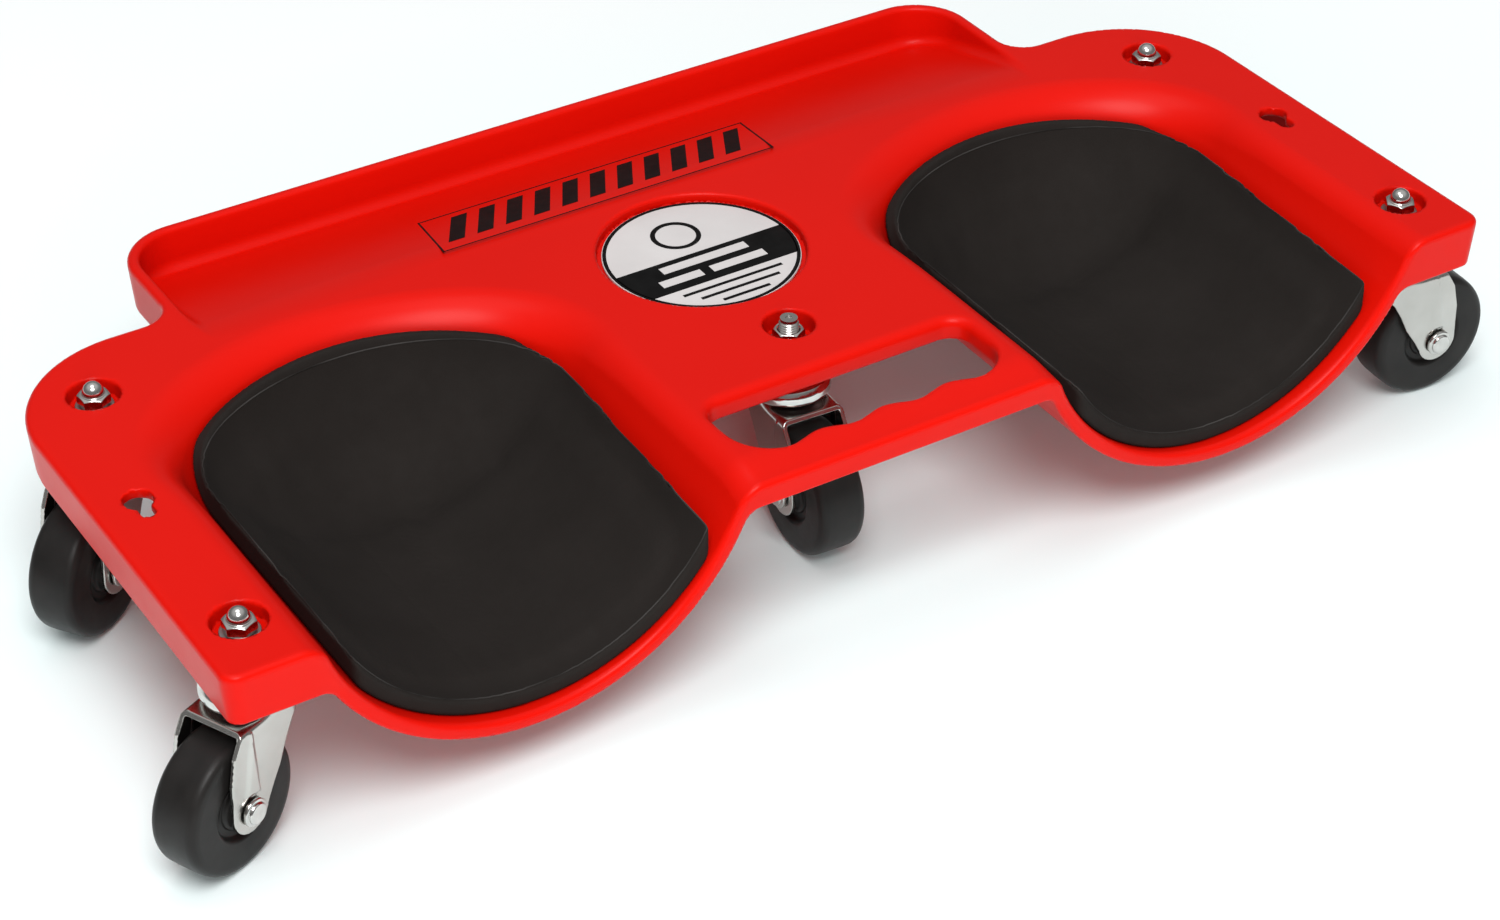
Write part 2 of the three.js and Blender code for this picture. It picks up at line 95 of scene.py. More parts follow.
DISC_Y = 13
DISC_R = 46.5
DISC_FLOOR = 102.5
DISC_BOTTOM = 102.8
DISC_TOP = 104.3
DISC_RECESS_R = 49
DISC_BOSS_R = 53
DISC_BAND = (-22, 2.4)            # the black band, from the disc's middle
DISC_MARKS_ON_BAND = [(-6.6, -24, 22), (-16.6, -30, -8), (-16.6, -3, 26)]   # low edge, left and right end
DISC_LINES = [(-28, -26, 27), (-34, -20, 22), (-40, -12, 13)]
PRINT_X = (-104, 87)
PRINT_Y = (71.5, 118)
PRINT_BARS = 11
NUT_SEAT = 102
CENTRE_NUT_SEAT = 97.5
STEM_TOP = 109.5
CENTRE_STEM_TOP = 110.4
STEMS = [(300.8, -128.5), (287, 49), (0, -62)]   # one side; the other mirrors it
STEM_HOLE_R = 4.6
STEM_BOSS_R = 15
NUT_RECESS_R = 11.8
NUT_FLATS = 13
NUT_HEIGHT = 5.4
NUT_LIFT = 2                      # washer and clearances under the nut
DOME_R = 4.8

WHEEL_R = 31.75
TRAIL = 21
FORK_TOP = 71.5
FORK_HALF_WIDTH = 16.5
FORK_FOOT_R = 10.5
PLATE = 2.2
BALL_COUNT = 14
BALL_R = 2.2
BALL_RING = (11, 75.2)            # radius and height of the ring


# ---- Fields: negative inside, positive outside ----
def rounded_max(a, b, radius):
    """Where both fields are inside, with the edge between them rounded."""
    corner = np.hypot(np.maximum(radius + a, 0), np.maximum(radius + b, 0))
    return np.minimum(-radius, np.maximum(a, b)) + corner


def rounded_min(a, b, radius):
    """Where either field is inside, with a fillet in the hollow corner between them."""
    return -rounded_max(-a, -b, radius)


def smooth(value, start, end):
    """A step from 0 to 1 without corners."""
    t = np.clip((value - start) / (end - start), 0, 1)
    return t * t * (3 - 2 * t)


def rounded_box(u, v, u_range, v_range, radius):
    """Distance to a rectangle with round corners in the (u, v) plane. radius may differ from point to point."""
    du = np.abs(u - sum(u_range) / 2) - (u_range[1] - u_range[0]) / 2 + radius
    dv = np.abs(v - sum(v_range) / 2) - (v_range[1] - v_range[0]) / 2 + radius
    outside = np.hypot(np.maximum(du, 0), np.maximum(dv, 0))
    return outside + np.minimum(np.maximum(du, dv), 0) - radius


def polygon(u, v, points):
    """Signed distance to a polygon in the (u, v) plane."""
    u, v = np.broadcast_arrays(u, v)
    nearest = np.full(u.shape, 1e9)
    inside = np.zeros(u.shape, bool)
    for (u0, v0), (u1, v1) in zip(points, points[1:] + points[:1]):
        eu, ev = u1 - u0, v1 - v0
        t = np.clip(((u - u0) * eu + (v - v0) * ev) / (eu * eu + ev * ev), 0, 1)
        nearest = np.minimum(nearest, np.hypot(u - u0 - t * eu, v - v0 - t * ev))
        crosses = (v0 <= v) != (v1 <= v)
        slope = eu / ev if ev else 0.0
        inside ^= crosses & (u < u0 + (v - v0) * slope)
    return np.where(inside, -nearest, nearest)


# ---- Surfaces from fields ----
def slopes(field, points, reach):
    """The field's slope at each point, by differences."""
    found = np.empty_like(points)
    for axis in range(3):
        step = np.zeros(3)
        step[axis] = reach
        ahead, behind = points + step, points - step
        found[:, axis] = (field(*ahead.T) - field(*behind.T)) / (2 * reach)
    return found


def settle(field, points, reach, rounds=3):
    """Moves points onto the field's zero surface."""
    for _ in range(rounds):
        slope = slopes(field, points, 0.02)
        size = np.maximum((slope ** 2).sum(1), 0.05)
        move = slope * (field(*points.T) / size)[:, None]
        length = np.maximum(np.linalg.norm(move, axis=1), 1e-9)
        points = points - move * np.minimum(1, reach / length)[:, None]
    return points


def surface_of(field, low, high, step):
    """Points and four-sided faces of the field's zero surface, one point for each grid cell that it crosses."""
    axes = [np.arange(a, b + step, step) for a, b in zip(low, high)]
    x, y, z = axes[0][:, None, None], axes[1][None, :, None], axes[2][None, None, :]
    values = np.broadcast_to(field(x, y, z), [len(a) for a in axes])
    inside = values < 0
    cells = tuple(n - 1 for n in values.shape)
    corners = [(i, j, k) for i in (0, 1) for j in (0, 1) for k in (0, 1)]
    filled = np.zeros(cells, np.int8)
    for i, j, k in corners:
        filled += inside[i:cells[0] + i, j:cells[1] + j, k:cells[2] + k]
    active = np.argwhere((filled > 0) & (filled < 8))
    number = np.full(cells, -1, np.int64)
    number[tuple(active.T)] = np.arange(len(active))
    total, count = np.zeros((len(active), 3)), np.zeros(len(active))
    for start in corners:
        for axis in range(3):
            if start[axis]:
                continue
            end = tuple(1 if d == axis else s for d, s in enumerate(start))
            a = values[tuple((active + start).T)]
            b = values[tuple((active + end).T)]
            crossed = (a < 0) != (b < 0)
            t = np.where(crossed, a / np.where(crossed, a - b, 1), 0)
            place = np.array(start, float) + t[:, None] * (np.array(end) - np.array(start))
            total += place * crossed[:, None]
            count += crossed
    points = np.array(low) + (active + total / count[:, None]) * step
    faces = []
    for axis in range(3):
        second, third = (axis + 1) % 3, (axis + 2) % 3
        lower = np.take(inside, range(values.shape[axis] - 1), axis)
        upper = np.take(inside, range(1, values.shape[axis]), axis)
        edges = np.argwhere(lower != upper)
        for other in (second, third):
            edges = edges[(edges[:, other] > 0) & (edges[:, other] < values.shape[other] - 1)]
        around = []
        for back_second, back_third in ((1, 1), (0, 1), (0, 0), (1, 0)):
            cell = edges.copy()
            cell[:, second] -= back_second
            cell[:, third] -= back_third
            around.append(number[tuple(cell.T)])
        quads = np.stack(around, 1)
        outward = lower[tuple(edges.T)]
        faces.append(np.where(outward[:, None], quads, quads[:, ::-1]))
    return points, np.concatenate(faces)


def new_object(name, mesh):
    """An object in the scene."""
    made = bpy.data.objects.new(name, mesh)
    bpy.context.scene.collection.objects.link(made)
    return made


def mesh_of(name, points, faces):
    """A mesh of the given points and faces."""
    mesh = bpy.data.meshes.new(name)
    mesh.from_pydata(np.asarray(points, float).tolist(), [], [list(map(int, f)) for f in faces])
    mesh.update()
    return mesh


def baked(piece):
    """Applies the piece's modifiers."""
    graph = bpy.context.evaluated_depsgraph_get()
    mesh = bpy.data.meshes.new_from_object(piece.evaluated_get(graph))
    piece.modifiers.clear()
    old = piece.data
    piece.data = mesh
    bpy.data.meshes.remove(old)
    return piece


def moulded(name, field, low, high, step, most_triangles):
    """A mesh of the field's surface in metres, thinned where it is flat, with the field's own normals."""
    points, faces = surface_of(field, low, high, step)
    points = settle(field, points, step)
    piece = new_object(name, mesh_of(name, points * MM, faces))
    if 2 * len(faces) > most_triangles:
        thin = piece.modifiers.new("thin", "DECIMATE")
        thin.ratio = most_triangles / (2 * len(faces))
        thin.use_collapse_triangulate = True
        baked(piece)
    mesh = piece.data
    flat = np.empty(len(mesh.vertices) * 3)
    mesh.vertices.foreach_get("co", flat)
    points = settle(field, flat.reshape(-1, 3) / MM, step / 2, 2)
    mesh.vertices.foreach_set("co", (points * MM).ravel())
    normals = slopes(field, points, 0.05)
    normals /= np.maximum(np.linalg.norm(normals, axis=1), 1e-9)[:, None]
    mesh.shade_smooth()
    mesh.normals_split_custom_set_from_vertices(normals.tolist())
    mesh.update()
    return piece


def turned(name, profile, segments=72, axis="Z"):
    """A closed profile of [radius, height] points turned about the axis, in metres, with sharp edges kept."""
    rings = len(profile)
    angles = np.arange(segments) * 2 * math.pi / segments
    points, faces = [], []
    for radius, height in profile:
        for angle in angles:
            points.append((radius * math.cos(angle), radius * math.sin(angle), height))
    for i in range(rings):
        following = (i + 1) % rings
        if profile[i][0] == 0 and profile[following][0] == 0:
            continue
        for j in range(segments):
            k = (j + 1) % segments
            quad = [i * segments + j, i * segments + k, following * segments + k, following * segments + j]
            faces.append(quad)
    points = np.array(points) * MM
    if axis == "Y":
        points = np.stack([points[:, 0], -points[:, 2], points[:, 1]], 1)
    piece = new_object(name, mesh_of(name, points, faces))
    tidy = piece.modifiers.new("tidy", "WELD")
    tidy.merge_threshold = 1e-6
    baked(piece)
    mesh = piece.data
    mesh.shade_smooth()
    mesh.set_sharp_from_angle(angle=math.radians(42))
    return piece


def round_profile(points, radius, steps=4):
    """A closed profile with each corner rounded, except on the axis."""
    rounded = []
    count = len(points)
    for i in range(count):
        here = np.array(points[i], float)
        before = np.array(points[i - 1], float)
        after = np.array(points[(i + 1) % count], float)
        if here[0] == 0:
            rounded.append(tuple(here))
            continue
        into, out = before - here, after - here
        reach = min(radius, 0.45 * np.linalg.norm(into), 0.45 * np.linalg.norm(out))
        start = here + into / np.linalg.norm(into) * reach
        end = here + out / np.linalg.norm(out) * reach
        for s in range(steps + 1):
            t = s / steps
            rounded.append(tuple((1 - t) ** 2 * start + 2 * t * (1 - t) * here + t * t * end))
    return rounded


# ---- Platform ----
def plan_field(side, y):
    """The outline in plan: end bars, tray and the cranked front edge."""
    bars = rounded_box(side, y, (-HALF_WIDTH, HALF_WIDTH), (-500, REAR_EDGE), 60)
    tray = rounded_box(side, y, (-TRAY_HALF_WIDTH, TRAY_HALF_WIDTH), (-100, TRAY_BACK), 30)
    front = np.interp(side, [HANDLE_HALF_WIDTH, CUP_X + CUP_R], [FRONT_AT_HANDLE, FRONT_AT_ENDS])
    return rounded_max(rounded_min(bars, tray, 15), front - y, 8)


def top_height(side, y):
    """Height of the deck: a little lower in the middle, and rolled down at the handle."""
    raised = np.maximum(smooth(side, 100, 240), smooth(y, 60, 110))
    drop = 3.4 * smooth(-y, 136, 158) * (1 - smooth(side, 84, 120))
    return DECK_MIDDLE + (DECK_TOP - DECK_MIDDLE) * raised - drop


def ramp_height(y):
    """The tray's ramp and floor."""
    slope = (DECK_TOP - TRAY_FLOOR) / (RAMP_BACK - RAMP_FRONT)
    return np.maximum(DECK_TOP - slope * (y - RAMP_FRONT), TRAY_FLOOR)


def cup_field(side, y, z, radius, rear):
    """A cylinder that lies along Y, with an ellipsoid at the rear."""
    across = np.hypot(side - CUP_X, z - CUP_AXIS_Z)
    behind = np.maximum(y - CUP_END_Y, 0) * (radius / rear)
    even = np.hypot(across, behind)
    steep = np.hypot(across, behind * (radius / rear))
    return (even - radius) * even / np.maximum(steep, 1e-6)


def slot_field(x, y):
    """The hand slot, with finger scallops along its front edge."""
    middle = (SLOT_BACK + SLOT_FRONT) / 2
    wave = (0.5 + 0.5 * np.cos(2 * math.pi * x / SCALLOP_PITCH)) * (np.abs(x) < 1.5 * SCALLOP_PITCH)
    lifted = y - 3.2 * wave * smooth(middle - y, 0, 20)
    radius = np.where(y > middle, 10, 19)
    return rounded_box(x, lifted, (-SLOT_HALF_WIDTH, SLOT_HALF_WIDTH), (SLOT_FRONT, SLOT_BACK), radius)


def keyhole_field(side, y):
    """A keyhole with its slot towards the front."""
    hole = np.hypot(side - KEYHOLE[0], y - KEYHOLE[1]) - KEYHOLE_R
    length, half_width = KEYHOLE_SLOT
    along = np.clip(y, KEYHOLE[1] - length, KEYHOLE[1])
    return np.minimum(hole, np.hypot(side - KEYHOLE[0], y - along) - half_width)


def stem_distance(side, y):
    """Distance in plan to the nearest stem."""
    return np.min(np.broadcast_arrays(*[np.hypot(side - a, y - b) for a, b in STEMS]), axis=0)


def underside_field(side, x, y, z, walls, upper):
    """The moulding's plates: skin under the upper surface, skirts, ribs, bosses, collar and cup walls."""
    plates = rounded_min(-(upper + SKIN), -(walls + SKIN), 2.5)
    ribs = np.minimum.reduce([np.abs(y - at) for at in (-90, -55, -8, 22)]) - RIB_HALF
    rib_bottom = np.where(y > -20, DECK_BOTTOM + 13, DECK_BOTTOM + 4)
    ribs = np.maximum(np.maximum(ribs, 278 - side), rib_bottom - z)
    tray_ribs = np.minimum.reduce([np.abs(side - at) for at in (60, 120, 200)]) - RIB_HALF
    tray_ribs = np.maximum(np.maximum(tray_ribs, 55 - y), DECK_BOTTOM + 1 - z)
    plates = rounded_min(plates, np.minimum(ribs, tray_ribs), 1.2)
    near_stem = stem_distance(side, y)
    plates = rounded_min(plates, near_stem - STEM_BOSS_R, 1.5)
    plates = rounded_max(plates, DECK_BOTTOM - z, 1.2)
    handle = np.maximum(np.maximum(side - 94, y + 93), z - 91.5)
    plates = rounded_max(plates, -handle, 1.6)
    collar = rounded_max(slot_field(x, y) - 4, 96.5 - z, 1)
    disc_boss = np.maximum(np.hypot(x, y - DISC_Y) - DISC_BOSS_R, 98.5 - z)
    plates = np.minimum(plates, np.minimum(collar, disc_boss))
    cups = cup_field(side, y, z, CUP_R + CUP_WALL, CUP_END_LENGTH + CUP_WALL)
    return rounded_min(plates, cups, 4)


def shell_field(x, y, z):
    """The whole moulding."""
    side = np.abs(x)
    plan = plan_field(side, y)
    walls = plan + 0.07 * np.clip(DECK_TOP - z, 0, DECK_TOP - DECK_BOTTOM)
    top = top_height(side, y)
    cups = cup_field(side, y, z, CUP_R, CUP_END_LENGTH)
    roll = 9 + 7 * smooth(y, -60, 25)
    upper = rounded_max(z - top, -cups, roll)
    tray = rounded_box(side, y, (-TRAY_HALF_WIDTH, TRAY_HALF_WIDTH), (-100, TRAY_BACK), 30) + TRAY_RIM
    tray = tray + 0.05 * (DECK_TOP - z)
    pocket = rounded_max(rounded_max(tray, (ramp_height(y) - z) * 0.97, 5), RAMP_FRONT - 20 - y, 2)
    upper = rounded_max(upper, -pocket, 2.4)
    body = rounded_max(upper, walls, 3)
    body = rounded_max(body, -slot_field(x, y), 2.0 + 2.6 * smooth(y, -132, -112))
    body = rounded_max(body, -keyhole_field(side, y), 0.8)
    near_stem = stem_distance(side, y)
    seat = np.where(side < 100, CENTRE_NUT_SEAT, NUT_SEAT)
    body = rounded_max(body, -np.maximum(near_stem - NUT_RECESS_R, seat - z), 1.3)
    body = np.maximum(body, STEM_HOLE_R - near_stem)
    recess = np.maximum(np.hypot(x, y - DISC_Y) - DISC_RECESS_R, DISC_FLOOR - z)
    body = rounded_max(body, -recess, 1.6)
    return rounded_max(body, underside_field(side, x, y, z, walls, upper), 1.5)


# ---- Materials ----
def shader(name, color, roughness, metallic=0.0, **sockets):
    """A material with its Principled shader: plain values go on the shader's own sockets."""
    made = bpy.data.materials.new(name)
    made.use_nodes = True
    main = made.node_tree.nodes["Principled BSDF"]
    main.inputs["Base Color"].default_value = (*color, 1)
    main.inputs["Roughness"].default_value = roughness
    main.inputs["Metallic"].default_value = metallic
    for socket, value in sockets.items():
        main.inputs[socket.replace("_", " ")].default_value = value
    return made, made.node_tree, main


def node(tree, kind, **values):
    """A shader node with its settings and plain inputs."""
    made = tree.nodes.new(kind)
    for key, value in values.items():
        if hasattr(made, key):
            setattr(made, key, value)
        else:
            made.inputs[key.replace("_", " ")].default_value = value
    return made


def noise(tree, scale, detail=3.0, stretch=None):
    """Noise in the piece's own metres."""
    place = node(tree, "ShaderNodeTexCoord")
    source = place.outputs["Object"]
    if stretch:
        mapping = node(tree, "ShaderNodeMapping")
        mapping.inputs["Scale"].default_value = stretch
        tree.links.new(source, mapping.inputs["Vector"])
        source = mapping.outputs["Vector"]
    made = node(tree, "ShaderNodeTexNoise", Scale=scale, Detail=detail)
    tree.links.new(source, made.inputs["Vector"])
    return made.outputs["Fac"]


def ramp(tree, source, stops):
    """A colour ramp. The first two stops are its own ends, and the rest are put between them."""
    made = node(tree, "ShaderNodeValToRGB")
    elements = made.color_ramp.elements
    for i, (at, color) in enumerate(stops):
        stop = elements[i] if i < 2 else elements.new(at)
        stop.position = at
        stop.color = (*color, 1) if len(color) == 3 else color
    tree.links.new(source, made.inputs["Fac"])
    return made.outputs["Color"]


def spread(tree, source, low, high):
    """Maps a 0 to 1 value onto low to high."""
    made = node(tree, "ShaderNodeMapRange")
    made.inputs["To Min"].default_value = low
    made.inputs["To Max"].default_value = high
    tree.links.new(source, made.inputs["Value"])
    return made.outputs["Result"]


def bump(tree, main, source, strength, distance):
    """Fine relief from a height."""
    made = node(tree, "ShaderNodeBump")
    made.inputs["Strength"].default_value = strength
    made.inputs["Distance"].default_value = distance
    tree.links.new(source, made.inputs["Height"])
    tree.links.new(made.outputs["Normal"], main.inputs["Normal"])


def red_plastic():
    made, tree, main = shader("red_plastic", (0.60, 0.0044, 0.001), 0.33, Specular_IOR_Level=0.11)
    tone = ramp(tree, noise(tree, 9, 4), [(0.3, (0.59, 0.0041, 0.0009)), (0.7, (0.612, 0.0048, 0.0012))])
    tree.links.new(tone, main.inputs["Base Color"])
    tree.links.new(spread(tree, noise(tree, 60, 5), 0.27, 0.37), main.inputs["Roughness"])
    bump(tree, main, noise(tree, 900, 2), 0.12, 0.0002)
    return made


def pad_cover():
    made, tree, main = shader("pad_cover", (0.013, 0.011, 0.010), 0.9, Specular_IOR_Level=0.16)
    tone = ramp(tree, noise(tree, 22, 6), [(0.3, (0.0115, 0.0092, 0.0080)), (0.72, (0.0150, 0.0122, 0.0108))])
    tree.links.new(tone, main.inputs["Base Color"])
    tree.links.new(spread(tree, noise(tree, 140, 4), 0.78, 0.95), main.inputs["Roughness"])
    bump(tree, main, noise(tree, 2600, 2), 0.35, 0.00025)
    return made


def pad_thread():
    made, tree, main = shader("pad_thread", (0.02, 0.019, 0.018), 0.8, Specular_IOR_Level=0.2)
    tone = ramp(tree, noise(tree, 25, 3), [(0.35, (0.010, 0.0085, 0.0075)), (0.65, (0.042, 0.039, 0.037))])
    tree.links.new(tone, main.inputs["Base Color"])
    return made


def black_rubber():
    made, tree, main = shader("black_rubber", (0.012, 0.011, 0.010), 0.42, Specular_IOR_Level=0.22)
    tone = ramp(tree, noise(tree, 55, 5), [(0.3, (0.0075, 0.0066, 0.0062)), (0.75, (0.0145, 0.013, 0.0122))])
    tree.links.new(tone, main.inputs["Base Color"])
    tree.links.new(spread(tree, noise(tree, 180, 4), 0.33, 0.52), main.inputs["Roughness"])
    bump(tree, main, noise(tree, 1500, 2), 0.1, 0.0002)
    return made


def zinc_steel():
    made, tree, main = shader("zinc_steel", (0.56, 0.55, 0.52), 0.26, 1.0)
    tone = ramp(tree, noise(tree, 45, 4), [(0.3, (0.48, 0.465, 0.44)), (0.7, (0.58, 0.565, 0.54))])
    tree.links.new(tone, main.inputs["Base Color"])
    tree.links.new(spread(tree, noise(tree, 300, 3, (1, 1, 0.15)), 0.19, 0.27), main.inputs["Roughness"])
    bump(tree, main, noise(tree, 600, 2, (1, 1, 0.1)), 0.02, 0.0001)
    return made


def bright_steel():
    made, tree, main = shader("bright_steel", (0.62, 0.61, 0.59), 0.12, 1.0)
    tone = ramp(tree, noise(tree, 200, 4), [(0.3, (0.55, 0.54, 0.52)), (0.7, (0.68, 0.67, 0.65))])
    tree.links.new(tone, main.inputs["Base Color"])
    tree.links.new(spread(tree, noise(tree, 350, 3), 0.08, 0.18), main.inputs["Roughness"])
    return made


def dull_steel():
    made, tree, main = shader("dull_steel", (0.30, 0.29, 0.28), 0.42, 1.0)
    tone = ramp(tree, noise(tree, 160, 4), [(0.3, (0.26, 0.25, 0.24)), (0.7, (0.35, 0.34, 0.33))])
    tree.links.new(tone, main.inputs["Base Color"])
    tree.links.new(spread(tree, noise(tree, 300, 4), 0.32, 0.52), main.inputs["Roughness"])
    return made


def black_ink():
    made, tree, main = shader("black_ink", (0.004, 0.004, 0.004), 0.6, Specular_IOR_Level=0.08)
    tone = ramp(tree, noise(tree, 120, 4), [(0.3, (0.003, 0.003, 0.003)), (0.7, (0.006, 0.006, 0.006))])
    tree.links.new(tone, main.inputs["Base Color"])
    tree.links.new(spread(tree, noise(tree, 200, 4), 0.5, 0.65), main.inputs["Roughness"])
    return made


def pale_print():
    made, tree, main = shader("pale_print", (0.66, 0.63, 0.62), 0.4, Specular_IOR_Level=0.3)
    tone = ramp(tree, noise(tree, 40, 4), [(0.3, (0.56, 0.535, 0.53)), (0.7, (0.61, 0.585, 0.58))])
    tree.links.new(tone, main.inputs["Base Color"])
    tree.links.new(spread(tree, noise(tree, 200, 4), 0.32, 0.44), main.inputs["Roughness"])
    return made


def floor_with_painted_shadow():
    made, tree, main = shader("floor_with_painted_shadow", (0.94, 0.98, 0.98), 0.75, Specular_IOR_Level=0.1)
    place = node(tree, "ShaderNodeTexCoord")
    mapping = node(tree, "ShaderNodeMapping")
    mapping.inputs["Scale"].default_value = (1.4, 2.2, 1)
    near = node(tree, "ShaderNodeTexGradient", gradient_type="SPHERICAL")
    tree.links.new(place.outputs["Object"], mapping.inputs["Vector"])
    tree.links.new(mapping.outputs["Vector"], near.inputs["Vector"])
    # Painted shadow: the floor turns darker towards the middle, under the platform, and its cyan tint cancels
    # the red light bounced off the platform.
    tone = ramp(tree, near.outputs["Color"], [(0.0, (0.955, 0.985, 0.985)), (0.7, (0.80, 0.93, 0.93))])
    tree.links.new(tone, main.inputs["Base Color"])
    return made


RED = red_plastic()
COVER = pad_cover()
THREAD = pad_thread()
RUBBER = black_rubber()
ZINC = zinc_steel()
BRIGHT = bright_steel()
DULL = dull_steel()
INK = black_ink()
PALE = pale_print()


def finish_piece(piece, material, body, replaces=()):
    """Gives a piece its material and its body, and hides the CAD pieces it replaces."""
    piece.data.materials.clear()
    piece.data.materials.append(material)
    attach(piece, body)
    if replaces:
        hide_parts(*replaces)
    return piece


# ---- Platform shell ----
def make_platform():
    """The shell, from its field."""
    low = (-HALF_WIDTH - 3, FRONT_AT_ENDS - 3, CUP_AXIS_Z - CUP_R - CUP_WALL - 3)
    high = (HALF_WIDTH + 3, TRAY_BACK + 3, DECK_TOP + 3)
    step = 1.6
    shell = moulded("moulded_platform", shell_field, low, high, step, 190000)
    finish_piece(shell, RED, "platform", ["platform_shell"])


# ---- Knee pads ----
def pad_edge(y):
    """Height of the pad's upper edge."""
    return PAD_EDGE_Z + PAD_EDGE_SLOPE * y


def pad_half_width(y):
    """Half the pad's width: where its upper surface meets the sloping upper edge."""
    radius, rear = CUP_R - PAD_THICKNESS, CUP_END_LENGTH - PAD_THICKNESS
    behind = np.maximum(y - CUP_END_Y, 0) * radius / rear
    return np.sqrt(np.maximum(radius ** 2 - (CUP_AXIS_Z - pad_edge(y)) ** 2 - behind ** 2, 0))


def pad_outline(inset=0.0, steps=40):
    """The pad's outline in plan, about its cup's middle, from the front right corner round the rear."""
    rear = CUP_END_Y
    while pad_half_width(rear + 0.02) > 0:
        rear += 0.02
    front = PAD_FRONT + inset
    along = [front + (CUP_END_Y - front) * i / 8 for i in range(8)]
    along += [CUP_END_Y + (rear - inset - CUP_END_Y) * math.sin(math.pi / 2 * i / steps) for i in range(steps)]
    shrink = 1 - inset / pad_half_width(PAD_FRONT)
    right = [(shrink * float(pad_half_width(min(y + inset * (y > CUP_END_Y), rear))), y) for y in along]
    return right + [(0.0, rear - inset)] + [(-x, y) for x, y in reversed(right)]


# The distance to the pad's outline in plan, kept on a grid because the pad's field asks for it very often
PLAN_STEP = 0.5
PLAN_LOW = (-112.0, -170.0)
PLAN_COUNT = (450, 500)
PLAN = polygon(PLAN_LOW[0] + PLAN_STEP * np.arange(PLAN_COUNT[0])[:, None],
               PLAN_LOW[1] + PLAN_STEP * np.arange(PLAN_COUNT[1])[None, :],
               pad_outline(PAD_CORNER_R)) - PAD_CORNER_R


def pad_plan(u, v):
    """Distance to the pad's outline in plan, read off the grid."""
    i = np.clip((u - PLAN_LOW[0]) / PLAN_STEP, 0, PLAN_COUNT[0] - 1.01)
    j = np.clip((v - PLAN_LOW[1]) / PLAN_STEP, 0, PLAN_COUNT[1] - 1.01)
    i0, j0 = i.astype(int), j.astype(int)
    a, b = i - i0, j - j0
    low = PLAN[i0, j0] * (1 - b) + PLAN[i0, j0 + 1] * b
    high = PLAN[i0 + 1, j0] * (1 - b) + PLAN[i0 + 1, j0 + 1] * b
    return low * (1 - a) + high * a


def pad_rim(x, y, z):
    """Distance to the pad's side faces: upright at the flanks and the front, square to the cup at the rear."""
    radius, rear = CUP_R - PAD_THICKNESS, CUP_END_LENGTH - PAD_THICKNESS
    behind = np.maximum(y - CUP_END_Y, 0)
    reach = np.hypot(np.hypot(x - CUP_X, z - CUP_AXIS_Z), behind * radius / rear)
    pull = smooth(y, -30, 15) * (radius / np.maximum(reach, radius * 0.8) - 1)
    return pad_plan((x - CUP_X) * (1 + pull), y + behind * pull)


def pad_field(x, y, z):
    """The layer between two cup surfaces, with narrow round edges."""
    outer = cup_field(x, y, z, CUP_R - 0.5, CUP_END_LENGTH - 0.5)
    radius, rear = CUP_R - PAD_THICKNESS, CUP_END_LENGTH - PAD_THICKNESS
    layer = rounded_max(outer, -cup_field(x, y, z, radius + PAD_CROWN, rear + PAD_CROWN), 0.6)
    return rounded_max(layer, pad_rim(x, y, z), PAD_EDGE_R)


def swollen_shift(piece):
    """Cloth simulation on a coarse copy: places and shifts of the cover as it swells away from the cup."""
    copy = new_object("pad_cloth", piece.data.copy())
    soft = copy.modifiers.new("remesh", "REMESH")
    soft.mode = "VOXEL"
    soft.voxel_size = CLOTH_VOXEL
    baked(copy)
    start = np.array([v.co for v in copy.data.vertices])
    depth = cup_field(start[:, 0] / MM, start[:, 1] / MM, start[:, 2] / MM, CUP_R, CUP_END_LENGTH)
    held = copy.vertex_groups.new(name="held")
    held.add(np.nonzero(depth > -3.5)[0].tolist(), 1.0, "REPLACE")
    cloth = copy.modifiers.new("cloth", "CLOTH")
    cloth.settings.use_pressure = True
    cloth.settings.uniform_pressure_force = 4
    cloth.settings.effector_weights.gravity = 0
    cloth.settings.vertex_group_mass = "held"
    cloth.settings.quality = 6
    cloth.point_cache.frame_start = 1
    cloth.point_cache.frame_end = 20
    scene = bpy.context.scene
    for number in range(1, 21):
        scene.frame_set(number)
    graph = bpy.context.evaluated_depsgraph_get()
    moved = np.array([v.co for v in copy.evaluated_get(graph).data.vertices])
    scene.frame_set(1)
    bpy.data.objects.remove(copy)
    return start, moved - start


def swell(piece, cap=PAD_SWELL):
    """Gives the fine cover its coarse copy's swelling, by no more than the cap and not at the sewn edge."""
    start, shift = swollen_shift(piece)
    length = np.maximum(np.linalg.norm(shift, axis=1), 1e-9)
    shift *= (cap * np.tanh(length / cap) / length)[:, None]
    tree = KDTree(len(start))
    for i, place in enumerate(start):
        tree.insert(place, i)
    tree.balance()
    mesh = piece.data
    fine = np.array([v.co for v in mesh.vertices]) / MM
    freedom = smooth(-pad_rim(*fine.T), 1.5, 16)
    for vertex, free in zip(mesh.vertices, freedom):
        near = tree.find_n(vertex.co, 10)
        weights = np.array([1 / (distance + 0.002) ** 2 for _, _, distance in near])
        share = (shift[[i for _, i, _ in near]] * weights[:, None]).sum(0) / weights.sum()
        vertex.co += Vector(share * free)
    if "custom_normal" in mesh.attributes:
        mesh.attributes.remove(mesh.attributes["custom_normal"])
    mesh.shade_smooth()
    mesh.update()


def pad_path(inset):
    """Points round the pad's upper surface, inset millimetres inside its edge."""
    radius, rear = CUP_R - PAD_THICKNESS, CUP_END_LENGTH - PAD_THICKNESS
    flat = [(x, y, 0) for x, y in pad_outline(inset)]
    placed = []
    for x, y, _ in resampled(flat, 1.0):
        behind = max(y - CUP_END_Y, 0) * radius / rear
        drop = math.sqrt(max(radius ** 2 - x * x - behind * behind, 0))
        placed.append((x + CUP_X, y, CUP_AXIS_Z - drop))
    return placed


